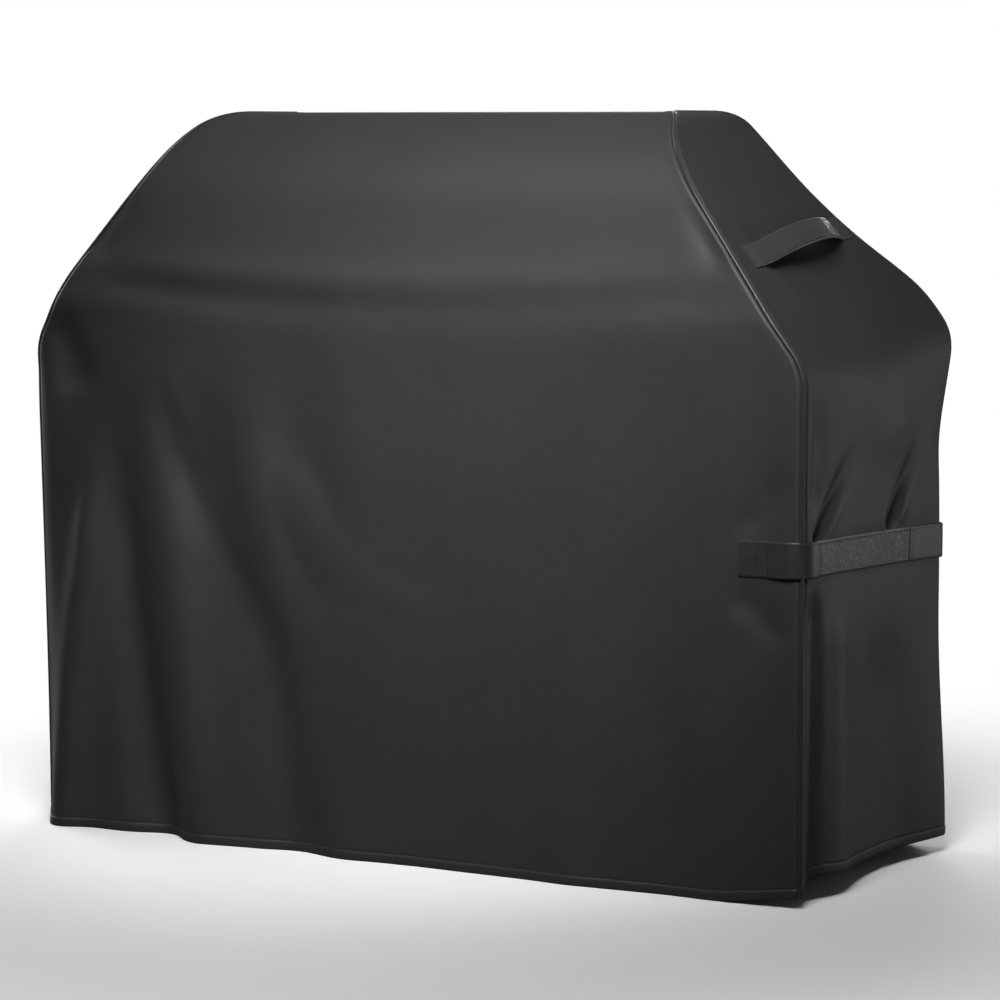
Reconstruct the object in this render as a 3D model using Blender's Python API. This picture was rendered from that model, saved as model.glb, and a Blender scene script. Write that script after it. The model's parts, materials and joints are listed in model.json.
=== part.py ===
"""Fitted fabric cover for a wide gas grill.

Metres, +Z up.  The origin is at the middle of the hem's plane.  The front faces -Y and +X is
the right end.  The cover stands in its hung shape: upright sides to the shoulder, and above
it sloping ends that rise to a rounded hood.
"""
import math

import bmesh
import bpy
from mathutils import Vector

# Overall size
LENGTH = 1.473
DEPTH = 0.610
HEIGHT = 1.219

# Outline of the ends, seen from the front
SHOULDER_HEIGHT = 0.830
SHOULDER_RADIUS = 0.090
RIDGE_HALF = 0.430
RIDGE_RADIUS = 0.060

# Outline of the hood, seen from the end
HOOD_HEIGHT = 0.900
HOOD_CREASE_RADIUS = 0.090
FRONT_LEAN = 0.070
FRONT_TOP_RADIUS = 0.190
BACK_LEAN = 0.215
BACK_TOP_RADIUS = 0.050

# Cloth, hem and end seams
CLOTH = 0.0012
HEM_HEIGHT = 0.018
HEM_STEP = 0.001
SEAM_SETBACK = 0.0058
SEAM_PROBE = 0.0004
PIPING_RADIUS = 0.0028
PIPING_SINK = 0.002
PIPING_SIDES = 8
BINDING_START = 0.0065
BINDING_END = 0.0185
BINDING_THICKNESS = 0.0014
CLEARANCE = 0.0003

# Carry handles, on the sloping ends
HANDLE_HEIGHT = 1.010
HANDLE_WIDTH = 0.040
HANDLE_THICKNESS = 0.0018
HANDLE_LIFT = 0.034
ARCH_FRONT = -0.200
ARCH_BACK = 0.135
FRONT_TACK = 0.035
REAR_TACK = 0.042
FREE_FROM = 0.145
LOOP_GAP = 0.0013
PATCH_MARGIN = 0.006
PATCH_FRONT_LIMIT = -0.240

# Hook-and-loop straps, low on the ends
STRAP_HEIGHT = 0.530
STRAP_WIDTH = 0.056
STRAP_THICKNESS = 0.0015
STRAP_STANDOFF = 0.0021
STRAP_CORNER = 0.004
ANCHOR_GAP = 0.003
STRIP_END = 0.160
REAR_WRAP = 0.060

# The right strap starts on the front panel and its tab wraps the seam
FRONT_ANCHOR_START = 0.620
FRONT_TAB_START = 0.680
FRONT_TAB_END = -0.2575
RIGHT_STRIP_START = -0.292

# The left strap lies on the end panel alone
END_ANCHOR_START = -0.255
END_TAB_START = -0.195
END_TAB_END = -0.075
LEFT_STRIP_START = -0.150

UPRIGHT = (0.0, 0.0, 1.0)

# Steps along a rounded corner, the free arch of a handle and each of its sewn ends
ARC_STEPS = 7
ARCH_STEPS = 16
ARCH_END_STEPS = 4

# Levels closer than this are one level
TOLERANCE = 1e-5
SHARP_DEGREES = 50

# Colour and roughness of each fabric
FINISHES = {
    "coated_cloth": ((0.024, 0.024, 0.026, 1.0), 0.55),
    "piping_cloth": ((0.024, 0.024, 0.026, 1.0), 0.45),
    "webbing": ((0.030, 0.030, 0.032, 1.0), 0.60),
    "loop_pile": ((0.036, 0.036, 0.038, 1.0), 0.95),
    "binding_tape": ((0.020, 0.020, 0.022, 1.0), 0.70),
}


def clear_scene():
    for obj in list(bpy.data.objects):
        bpy.data.objects.remove(obj)


def make_material(name):
    colour, roughness = FINISHES[name]
    material = bpy.data.materials.new(name)
    material.use_nodes = True
    shader = material.node_tree.nodes["Principled BSDF"]
    shader.inputs["Base Color"].default_value = colour
    shader.inputs["Roughness"].default_value = roughness
    shader.inputs["Metallic"].default_value = 0.0
    return material


def rounded_outline(corners, radii):
    """Return (point, outward normal) pairs along a polyline whose corners are arcs."""
    points = [Vector(corner) for corner in corners]
    outline = []
    first = (points[1] - points[0]).normalized()
    outline.append((points[0], Vector((first.y, -first.x))))
    for before, corner, after, radius in zip(points, points[1:], points[2:], radii):
        arriving = (corner - before).normalized()
        leaving = (after - corner).normalized()
        turn = arriving.angle(leaving)
        left_turn = arriving.x * leaving.y - arriving.y * leaving.x > 0
        side = 1.0 if left_turn else -1.0
        start = corner - arriving * radius * math.tan(turn / 2)
        centre = start + Vector((-arriving.y, arriving.x)) * radius * side
        for step in range(ARC_STEPS + 1):
            angle = side * turn * step / ARC_STEPS
            spoke = start - centre
            turned = Vector((spoke.x * math.cos(angle) - spoke.y * math.sin(angle),
                             spoke.x * math.sin(angle) + spoke.y * math.cos(angle)))
            outline.append((centre + turned, turned.normalized() * side))
    last = (points[-1] - points[-2]).normalized()
    outline.append((points[-1], Vector((last.y, -last.x))))
    return outline


def at_height(outline, height):
    """Interpolate a rising outline: its distance from the middle and its normal."""
    for (low, low_normal), (high, high_normal) in zip(outline, outline[1:]):
        if low.y <= height <= high.y and high.y - low.y > TOLERANCE:
            share = (height - low.y) / (high.y - low.y)
            normal = low_normal.lerp(high_normal, share).normalized()
            return low.x + (high.x - low.x) * share, normal
    point = next(point for point, _ in outline if point.y > HEIGHT - TOLERANCE)
    return point.x, Vector((0.0, 1.0))


def end_outline():
    """Half of the front view: hem, shoulder, ridge."""
    corners = [(LENGTH / 2, 0), (LENGTH / 2, SHOULDER_HEIGHT), (RIDGE_HALF, HEIGHT), (0, HEIGHT)]
    return rounded_outline(corners, [SHOULDER_RADIUS, RIDGE_RADIUS])


def hood_outline(lean, top_radius):
    """Half of the end view, with its distance outward from the middle: hem, crease, top."""
    corners = [(DEPTH / 2, 0), (DEPTH / 2, HOOD_HEIGHT), (DEPTH / 2 - lean, HEIGHT), (0, HEIGHT)]
    return rounded_outline(corners, [HOOD_CREASE_RADIUS, top_radius])


END = end_outline()
FRONT = hood_outline(FRONT_LEAN, FRONT_TOP_RADIUS)
BACK = hood_outline(BACK_LEAN, BACK_TOP_RADIUS)


def heights(*outlines):
    """All the levels at which any of the outlines bends, from the hem to the top."""
    levels = {0.0, HEM_HEIGHT, HEM_HEIGHT + HEM_STEP, round(HEIGHT, 6)}
    for outline in outlines:
        levels.update(round(point.y, 6) for point, _ in outline)
    kept = []
    for level in sorted(levels):
        if not kept or level - kept[-1] > TOLERANCE:
            kept.append(level)
    return kept


def setbacks(outline, level):
    """How far along X and along Y a panel's edge stays back from the seam at a level."""
    low = max(level - SEAM_PROBE, 0.0)
    high = min(low + 2 * SEAM_PROBE, HEIGHT)
    low = high - 2 * SEAM_PROBE
    run = Vector((at_height(END, high)[0] - at_height(END, low)[0],
                  at_height(outline, high)[0] - at_height(outline, low)[0], high - low)).normalized()
    return (SEAM_SETBACK / math.sqrt(1 - run.x ** 2), SEAM_SETBACK / math.sqrt(1 - run.y ** 2))


def cloth_at(level):
    """The hem is turned up, so the cloth is double there."""
    return 2 * CLOTH if level <= HEM_HEIGHT + TOLERANCE else CLOTH


def sweep(name, rings, material, origin=(0, 0, 0)):
    """Join a row of equal rings of points into one closed solid."""
    mesh = bmesh.new()
    rows = [[mesh.verts.new(Vector(point) - Vector(origin)) for point in ring] for ring in rings]
    count = len(rows[0])
    for row, following in zip(rows, rows[1:]):
        for index in range(count):
            other = (index + 1) % count
            mesh.faces.new((row[index], row[other], following[other], following[index]))
    mesh.faces.new(rows[0])
    mesh.faces.new(rows[-1])
    bmesh.ops.recalc_face_normals(mesh, faces=mesh.faces)
    data = bpy.data.meshes.new(name)
    mesh.to_mesh(data)
    mesh.free()
    data.materials.append(material)
    obj = bpy.data.objects.new(name, data)
    obj.location = origin
    bpy.context.scene.collection.objects.link(obj)
    return obj


def body_panel(material):
    rings = []
    for outline, facing, rising in ((FRONT, -1.0, True), (BACK, 1.0, False)):
        levels = heights(END, outline)
        for level in levels if rising else reversed(levels):
            reach, normal = at_height(outline, level)
            half = at_height(END, level)[0] - setbacks(outline, level)[0]
            outer = Vector((0.0, reach * facing, level))
            inner = outer - Vector((0.0, normal.x * facing, normal.y)) * cloth_at(level)
            across = Vector((half, 0.0, 0.0))
            rings.append([outer - across, outer + across, inner + across, inner - across])
    return sweep("body_panel", rings, material)


def end_panel(name, side, material):
    top_edge = at_height(END, HEIGHT)[0] + SEAM_SETBACK
    rings = []
    for level in heights(END, FRONT, BACK):
        reach, normal = at_height(END, level)
        if reach < top_edge:
            break
        outer = Vector((reach * side, 0.0, level))
        inner = outer - Vector((normal.x * side, 0.0, normal.y)) * cloth_at(level)
        front = Vector((0.0, setbacks(FRONT, level)[1] - at_height(FRONT, level)[0], 0.0))
        back = Vector((0.0, at_height(BACK, level)[0] - setbacks(BACK, level)[1], 0.0))
        rings.append([outer + front, outer + back, inner + back, inner + front])
    return sweep(name, rings, material)


def seam_line(side):
    """The seam round one end, as points with the direction inward between the two panels."""
    line = []
    for outline, facing, rising in ((FRONT, -1.0, True), (BACK, 1.0, False)):
        levels = heights(END, outline)
        for level in levels if rising else reversed(levels):
            reach, end_normal = at_height(END, level)
            depth, hood_normal = at_height(outline, level)
            outward = Vector((end_normal.x * side, hood_normal.x * facing, end_normal.y + hood_normal.y))
            line.append((Vector((reach * side, depth * facing, level)), -outward.normalized()))
    return line


def seam_rings(side, section):
    """Carry a cross-section, given as (inward, sideways) distances, along the seam."""
    line = seam_line(side)
    rings = []
    for index, (point, inward) in enumerate(line):
        before = line[max(index - 1, 0)][0]
        after = line[min(index + 1, len(line) - 1)][0]
        sideways = inward.cross(after - before).normalized()
        rings.append([point + inward * a + sideways * b for a, b in section])
    return rings


def piping(name, side, material):
    section = []
    for step in range(PIPING_SIDES):
        angle = 2 * math.pi * step / PIPING_SIDES
        section.append((PIPING_SINK + PIPING_RADIUS * math.cos(angle), PIPING_RADIUS * math.sin(angle)))
    obj = sweep(name, seam_rings(side, section), material)
    obj.data.shade_smooth()
    obj.data.set_sharp_from_angle(angle=math.radians(SHARP_DEGREES))
    return obj


def seam_binding(name, side, material):
    half = BINDING_THICKNESS / 2
    section = [(BINDING_START, -half), (BINDING_START, half), (BINDING_END, half), (BINDING_END, -half)]
    return sweep(name, seam_rings(side, section), material)


def ribbon(name, path, width_direction, width, thickness, material, origin=(0, 0, 0)):
    """A flat band: path holds (point on its inner face, outward normal) pairs."""
    half = Vector(width_direction) * width / 2
    rings = []
    for point, normal in path:
        outer = point + normal * thickness
        rings.append([point - half, point + half, outer + half, outer - half])
    return sweep(name, rings, material, origin)


def slope_frame(side):
    """A point on the sloping end at the handle's height, its outward normal and its rising line."""
    rise = Vector((RIDGE_HALF - LENGTH / 2, 0.0, HEIGHT - SHOULDER_HEIGHT)).normalized()
    share = (HANDLE_HEIGHT - SHOULDER_HEIGHT) / (HEIGHT - SHOULDER_HEIGHT)
    reach = LENGTH / 2 + (RIDGE_HALF - LENGTH / 2) * share
    point = Vector((reach * side, 0.0, HANDLE_HEIGHT))
    normal = Vector((rise.z * side, 0.0, -rise.x))
    return point, normal, Vector((rise.x * side, 0.0, rise.z))


def arch_path(side, start, end, steps):
    """The free arch of a handle between two shares of its span."""
    base, normal, _ = slope_frame(side)
    span = ARCH_BACK - ARCH_FRONT
    path = []
    for step in range(steps + 1):
        share = start + (end - start) * step / steps
        lift = CLEARANCE + HANDLE_LIFT * math.sin(math.pi * share)
        slant = HANDLE_LIFT * math.pi * math.cos(math.pi * share) / span
        facing = (normal - Vector((0.0, slant, 0.0))).normalized()
        path.append((base + Vector((0.0, ARCH_FRONT + span * share, 0.0)) + normal * lift, facing))
    return path


def handle(prefix, side, webbing, tape):
    base, normal, rise = slope_frame(side)
    gap = LOOP_GAP / (ARCH_BACK - ARCH_FRONT)
    on_panel = base + normal * CLEARANCE

    def flat(y):
        return on_panel + Vector((0.0, y, 0.0)), normal

    rising = arch_path(side, 0.0, FREE_FROM - gap, ARCH_END_STEPS)[1:]
    front = [flat(ARCH_FRONT - FRONT_TACK), flat(ARCH_FRONT)] + rising
    falling = arch_path(side, 1 - FREE_FROM + gap, 1.0, ARCH_END_STEPS)[:-1]
    rear = falling + [flat(ARCH_BACK), flat(ARCH_BACK + REAR_TACK)]
    free = arch_path(side, FREE_FROM, 1 - FREE_FROM, ARCH_STEPS)
    ribbon(prefix + "_handle_front_end", front, rise, HANDLE_WIDTH, HANDLE_THICKNESS, webbing)
    ribbon(prefix + "_handle_rear_end", rear, rise, HANDLE_WIDTH, HANDLE_THICKNESS, webbing)
    ribbon(prefix + "_handle_loop", free, rise, HANDLE_WIDTH, HANDLE_THICKNESS, webbing, origin=base)

    inside = base - normal * (CLOTH + CLEARANCE)
    for place, low, high in (("front", ARCH_FRONT - FRONT_TACK, ARCH_FRONT),
                             ("rear", ARCH_BACK, ARCH_BACK + REAR_TACK)):
        low = max(low - PATCH_MARGIN, PATCH_FRONT_LIMIT)
        path = [(inside + Vector((0.0, y, 0.0)), -normal) for y in (low, high + PATCH_MARGIN)]
        ribbon(f"{prefix}_handle_{place}_patch", path, rise, HANDLE_WIDTH + 2 * PATCH_MARGIN, CLOTH, tape)


def level_path(side, corners, radii):
    """A path in a level plane at the strap's height, given as half a plan of the cover."""
    path = []
    for point, normal in rounded_outline(corners, radii):
        path.append((Vector((point.x * side, point.y, STRAP_HEIGHT)),
                     Vector((normal.x * side, normal.y, 0.0))))
    return path


def corner_fastening(prefix, side, webbing):
    """The anchor on the front panel and the tab that wraps the front seam."""
    end = LENGTH / 2 + STRAP_STANDOFF
    anchor_y = -DEPTH / 2 - CLEARANCE
    anchor = level_path(side, [(FRONT_ANCHOR_START, anchor_y), (FRONT_TAB_START - ANCHOR_GAP, anchor_y)], [])
    ribbon(prefix + "_strap_front_anchor", anchor, UPRIGHT, STRAP_WIDTH, STRAP_THICKNESS, webbing)

    tab_y = -DEPTH / 2 - STRAP_STANDOFF
    tab = level_path(side, [(FRONT_TAB_START, tab_y), (end, tab_y), (end, FRONT_TAB_END)], [STRAP_CORNER])
    hinge = (FRONT_TAB_START * side, tab_y, STRAP_HEIGHT)
    ribbon(prefix + "_strap_hook_tab", tab, UPRIGHT, STRAP_WIDTH, STRAP_THICKNESS, webbing, origin=hinge)


def end_fastening(prefix, side, webbing):
    """The anchor and the tab of a strap that stays on the end panel."""
    anchor_x = LENGTH / 2 + CLEARANCE
    anchor = level_path(side, [(anchor_x, END_ANCHOR_START), (anchor_x, END_TAB_START - ANCHOR_GAP)], [])
    ribbon(prefix + "_strap_front_anchor", anchor, UPRIGHT, STRAP_WIDTH, STRAP_THICKNESS, webbing)

    tab_x = LENGTH / 2 + STRAP_STANDOFF
    tab = level_path(side, [(tab_x, END_TAB_START), (tab_x, END_TAB_END)], [])
    hinge = (tab_x * side, END_TAB_START, STRAP_HEIGHT)
    ribbon(prefix + "_strap_hook_tab", tab, UPRIGHT, STRAP_WIDTH, STRAP_THICKNESS, webbing, origin=hinge)


def receiving_strip(prefix, side, strip_start, webbing, fuzz):
    """The looped strip along the end and the plain webbing that carries it round to the back."""
    end = LENGTH / 2
    strip_x = end + CLEARANCE
    strip = level_path(side, [(strip_x, strip_start), (strip_x, STRIP_END - CLEARANCE)], [])
    ribbon(prefix + "_strap_loop_strip", strip, UPRIGHT, STRAP_WIDTH, STRAP_THICKNESS, fuzz)

    wrap_x = end + STRAP_STANDOFF
    wrap_y = DEPTH / 2 + STRAP_STANDOFF
    corners = [(wrap_x, STRIP_END), (wrap_x, wrap_y), (end - REAR_WRAP, wrap_y)]
    wrap = level_path(side, corners, [STRAP_CORNER])
    ribbon(prefix + "_strap_rear_anchor", wrap, UPRIGHT, STRAP_WIDTH, STRAP_THICKNESS, webbing)


def build():
    clear_scene()
    cloth = make_material("coated_cloth")
    cord = make_material("piping_cloth")
    webbing = make_material("webbing")
    fuzz = make_material("loop_pile")
    tape = make_material("binding_tape")

    body_panel(cloth)
    for prefix, side in (("right", 1.0), ("left", -1.0)):
        end_panel(prefix + "_end_panel", side, cloth)
        piping(prefix + "_piping", side, cord)
        seam_binding(prefix + "_seam_binding", side, tape)
        handle(prefix, side, webbing, tape)

    corner_fastening("right", 1.0, webbing)
    receiving_strip("right", 1.0, RIGHT_STRIP_START, webbing, fuzz)
    end_fastening("left", -1.0, webbing)
    receiving_strip("left", -1.0, LEFT_STRIP_START, webbing, fuzz)


build()
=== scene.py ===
import json
import math

import bpy
import numpy as np
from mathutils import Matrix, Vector

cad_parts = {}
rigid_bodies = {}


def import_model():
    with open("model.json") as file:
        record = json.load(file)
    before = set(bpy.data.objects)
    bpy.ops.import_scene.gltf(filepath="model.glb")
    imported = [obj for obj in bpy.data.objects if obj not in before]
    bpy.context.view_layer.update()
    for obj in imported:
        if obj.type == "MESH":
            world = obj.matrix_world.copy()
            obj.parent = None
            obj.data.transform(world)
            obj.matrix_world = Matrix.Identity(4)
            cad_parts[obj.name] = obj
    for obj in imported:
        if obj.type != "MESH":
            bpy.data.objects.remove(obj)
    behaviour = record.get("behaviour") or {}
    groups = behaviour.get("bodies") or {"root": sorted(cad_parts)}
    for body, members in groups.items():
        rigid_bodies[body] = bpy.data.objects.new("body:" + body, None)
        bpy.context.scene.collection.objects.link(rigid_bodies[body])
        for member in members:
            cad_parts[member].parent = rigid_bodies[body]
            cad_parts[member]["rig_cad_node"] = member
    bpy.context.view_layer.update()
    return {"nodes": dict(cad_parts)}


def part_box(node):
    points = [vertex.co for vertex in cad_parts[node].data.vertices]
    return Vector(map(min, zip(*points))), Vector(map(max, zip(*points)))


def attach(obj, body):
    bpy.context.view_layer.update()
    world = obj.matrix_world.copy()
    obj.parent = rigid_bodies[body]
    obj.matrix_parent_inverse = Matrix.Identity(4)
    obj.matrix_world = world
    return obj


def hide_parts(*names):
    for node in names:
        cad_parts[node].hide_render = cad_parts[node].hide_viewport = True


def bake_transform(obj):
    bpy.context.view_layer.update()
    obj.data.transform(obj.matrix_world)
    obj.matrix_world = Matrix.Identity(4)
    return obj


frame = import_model()
print("frame loaded:", len(frame["nodes"]), "nodes")


# Small helpers for arrays of points

def ease(low, high, value):
    share = np.clip((value - low) / (high - low), 0, 1)
    return share * share * (3 - 2 * share)


def unit(vectors):
    return vectors / np.maximum(np.linalg.norm(vectors, axis=-1, keepdims=True), 1e-12)


def catmull(grid, where):
    # a smooth curve through every row of the grid, read at the places in where
    g = np.concatenate([2 * grid[:1] - grid[1:2], grid, 2 * grid[-1:] - grid[-2:-1]])
    cell = np.clip(where.astype(int), 0, len(grid) - 2)
    t = (where - cell).reshape((-1,) + (1,) * (grid.ndim - 1))
    a, b, c, d = g[cell], g[cell + 1], g[cell + 2], g[cell + 3]
    return 0.5 * (2 * b + (c - a) * t + (2 * a - 5 * b + 4 * c - d) * t ** 2
                  + (3 * b - a - 3 * c + d) * t ** 3)


def pathLength(points):
    steps = np.linalg.norm(np.diff(points, axis=0), axis=1)
    return np.concatenate([[0], np.cumsum(steps)])


def readAlong(wanted, length, values):
    return np.stack([np.interp(wanted, length, values[:, k]) for k in range(values.shape[1])], 1)


def smoothRoute(points, count):
    # a smooth curve through a few points, evenly spread
    points = np.array(points, float)
    dense = catmull(points, np.linspace(0, len(points) - 1, 24 * len(points)))
    length = pathLength(dense)
    wanted = np.linspace(0, length[-1], count)
    return readAlong(wanted, length, dense)


def gridNormals(grid):
    return unit(np.cross(np.gradient(grid, axis=1), np.gradient(grid, axis=0)))


# Small helpers for meshes

def makeActive(obj):
    bpy.ops.object.select_all(action="DESELECT")
    obj.select_set(True)
    bpy.context.view_layer.objects.active = obj


def applyAll(obj):
    makeActive(obj)
    for modifier in list(obj.modifiers):
        bpy.ops.object.modifier_apply(modifier=modifier.name)


def smooth(obj, degrees=60):
    makeActive(obj)
    bpy.ops.object.shade_smooth_by_angle(angle=math.radians(degrees))


def shapedGrid(name, points, uv, inward=False):
    # a primitive grid, moved point by point to the shape of the cloth
    rows, columns = points.shape[:2]
    bpy.ops.object.select_all(action="DESELECT")
    bpy.ops.mesh.primitive_grid_add(x_subdivisions=columns - 1, y_subdivisions=rows - 1, size=1)
    obj = bpy.context.object
    obj.name = name
    obj.data.name = name
    obj.data.vertices.foreach_set("co", points.reshape(-1))
    corner = np.zeros(len(obj.data.loops), np.int32)
    obj.data.loops.foreach_get("vertex_index", corner)
    obj.data.uv_layers[0].name = "cloth"
    obj.data.uv_layers[0].data.foreach_set("uv", uv.reshape(-1, 2)[corner].reshape(-1))
    if inward:
        bpy.ops.object.mode_set(mode="EDIT")
        bpy.ops.mesh.select_all(action="SELECT")
        bpy.ops.mesh.flip_normals()
        bpy.ops.object.mode_set(mode="OBJECT")
    obj.data.update()
    return obj


def closeTube(obj):
    # joins the long edges of a rolled-up grid and fills its two ends
    makeActive(obj)
    bpy.ops.object.mode_set(mode="EDIT")
    bpy.ops.mesh.select_all(action="SELECT")
    bpy.ops.mesh.remove_doubles(threshold=1e-5)
    bpy.ops.mesh.select_all(action="DESELECT")
    bpy.ops.mesh.select_mode(type="EDGE")
    bpy.ops.mesh.select_non_manifold()
    bpy.ops.mesh.fill_holes(sides=0)
    bpy.ops.mesh.select_all(action="SELECT")
    bpy.ops.mesh.normals_make_consistent(inside=False)
    bpy.ops.mesh.select_mode(type="VERT")
    bpy.ops.object.mode_set(mode="OBJECT")
    return obj


# The cut of the cover

cover = {
    "halfLength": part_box("right_end_panel")[1].x,
    "halfDepth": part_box("body_panel")[1].y,
    "height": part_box("body_panel")[1].z,
    "shoulder": 0.830,          # where the ends begin to slope
    "shoulderRadius": 0.090,
    "ridgeHalf": 0.430,
    "ridgeRadius": 0.060,
    "hood": 0.900,              # where the hood begins to lean
    "creaseRadius": 0.090,
    "frontLean": 0.070,
    "frontTopRadius": 0.190,
    "backLean": 0.215,
    "backTopRadius": 0.050,
    "rise": 66,                 # cells from the hem to the top
    "over": 26,                 # cells over the top, and from front to back
    "across": 70,               # cells from end to end
    "cloth": 0.0012,
    "hem": 0.0165,
}


def roundedOutline(corners, radii, steps=48):
    points = [np.array(corner, float) for corner in corners]
    outline = [points[0]]
    for before, corner, after, radius in zip(points, points[1:], points[2:], radii):
        arriving, leaving = unit(corner - before), unit(after - corner)
        turn = math.acos(float(np.clip(arriving @ leaving, -1, 1)))
        start = corner - arriving * radius * math.tan(turn / 2)
        centre = start + radius * np.array((-arriving[1], arriving[0]))
        spoke = start - centre
        for step in range(steps + 1):
            c, s = math.cos(turn * step / steps), math.sin(turn * step / steps)
            outline.append(centre + np.array((spoke[0] * c - spoke[1] * s, spoke[0] * s + spoke[1] * c)))
    return np.array(outline)


def coverOutlines(s):
    corners = [(s["halfLength"], 0), (s["halfLength"], s["shoulder"]),
               (s["ridgeHalf"], s["height"]), (0, s["height"])]
    outlines = [roundedOutline(corners, [s["shoulderRadius"], s["ridgeRadius"]])]
    for lean, radius in ((s["frontLean"], s["frontTopRadius"]), (s["backLean"], s["backTopRadius"])):
        corners = [(s["halfDepth"], 0), (s["halfDepth"], s["hood"]),
                   (s["halfDepth"] - lean, s["height"]), (0, s["height"])]
        outlines.append(roundedOutline(corners, [s["creaseRadius"], radius]))
    return outlines


def rowLevels(s, outlines):
    # the heights of the rows, chosen so that cells are even on every outline
    dense = s["height"] * (1 - (1 - np.linspace(0, 1, 4000)) ** 2)
    step = np.zeros(len(dense) - 1)
    for outline in outlines:
        reach = np.interp(dense, outline[:, 1], outline[:, 0])
        step = np.maximum(step, np.hypot(np.diff(dense), np.diff(reach)))
    length = np.concatenate([[0], np.cumsum(step)])
    return np.interp(np.linspace(0, length[-1], s["rise"] + 1), length, dense)


outlines = coverOutlines(cover)
levels = rowLevels(cover, outlines)
halfAt, nearAt, farAt = (np.interp(levels, outline[:, 1], outline[:, 0]) for outline in outlines)
rise, over, wide = cover["rise"], cover["over"], cover["across"]
frontRows = slice(0, rise + 1)
backRows = slice(rise + over, 2 * rise + over + 1)


def flatBody():
    # places and cloth coordinates of the body panel, from the front hem over the top to the back hem
    top = np.linspace(-nearAt[-1], farAt[-1], over + 1)[1:-1]
    y = np.concatenate([-nearAt, top, farAt[::-1]])
    z = np.concatenate([levels, np.full(len(top), cover["height"]), levels[::-1]])
    half = np.concatenate([halfAt, np.full(len(top), halfAt[-1]), halfAt[::-1]])
    grid = np.zeros((len(y), wide + 1, 3))
    grid[..., 0] = half[:, None] * np.linspace(-1, 1, wide + 1)
    grid[..., 1] = y[:, None]
    grid[..., 2] = z[:, None]
    uv = np.stack([grid[..., 0], np.repeat(pathLength(np.stack([y, z], 1))[:, None], wide + 1, 1)], -1)
    fromSeam = half[:, None] - np.abs(grid[..., 0])
    return grid, uv, fromSeam


def flatEnd(side):
    share = np.linspace(0, 1, over + 1)
    grid = np.zeros((rise + 1, over + 1, 3))
    grid[..., 0] = side * halfAt[:, None]
    grid[..., 1] = -nearAt[:, None] + (nearAt + farAt)[:, None] * share
    grid[..., 2] = levels[:, None]
    length = pathLength(np.stack([halfAt, levels], 1))
    uv = np.stack([grid[..., 1], np.repeat(length[:, None], over + 1, 1)], -1)
    sides = np.minimum(grid[..., 1] + nearAt[:, None], farAt[:, None] - grid[..., 1])
    fromSeam = np.minimum(sides, (length[-1] - length)[:, None])
    return grid, uv, fromSeam


# How the cloth hangs

hang = {
    # roundness in plan of the corner at (end, face): at the hem and at the shoulder
    "corners": {(-1, -1): (0.120, 0.045), (1, -1): (0.012, 0.012),
                (-1, 1): (0.110, 0.045), (1, 1): (0.040, 0.032)},
    "squareAbove": 1.080,
    "tightAbove": (0.840, 0.960, 0.030),    # from and to this level the roundness shrinks to this
    "sideLift": 0.030,              # the right end's hem hangs short as well
    "rearPull": 0.026,              # and its rear shoulder is pulled up and back
    "cornerLift": 0.016,            # the front right hem corner hangs a little short
    "tuckLevels": (0.660, 0.870),   # the back is drawn forward below the shoulder
    "backTuck": 0.045,
    "rearFlare": 0.016,             # the rear right corner kicks out at the hem
    "leftFlare": 0.022,
    "leftTurn": 0.034,              # the left of the front hangs back under the hood
    "seamFade": 0.035,
    "settleFrames": 22,
    "mostSettle": 0.012,
    "cloth": {"quality": 6, "mass": 0.25, "tension_stiffness": 20, "compression_stiffness": 12,
              "shear_stiffness": 6, "bending_stiffness": 4, "air_damping": 3,
              "vertex_group_mass": "held", "pin_stiffness": 1.0},
}


def fold(route, width, lift, fade):
    # a fold follows a route (across, up); its width and lift run from the route's start to its end,
    # and fade gives the share of the route over which it comes in and goes out
    return {"route": route, "width": width, "lift": lift, "fade": fade}


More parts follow.
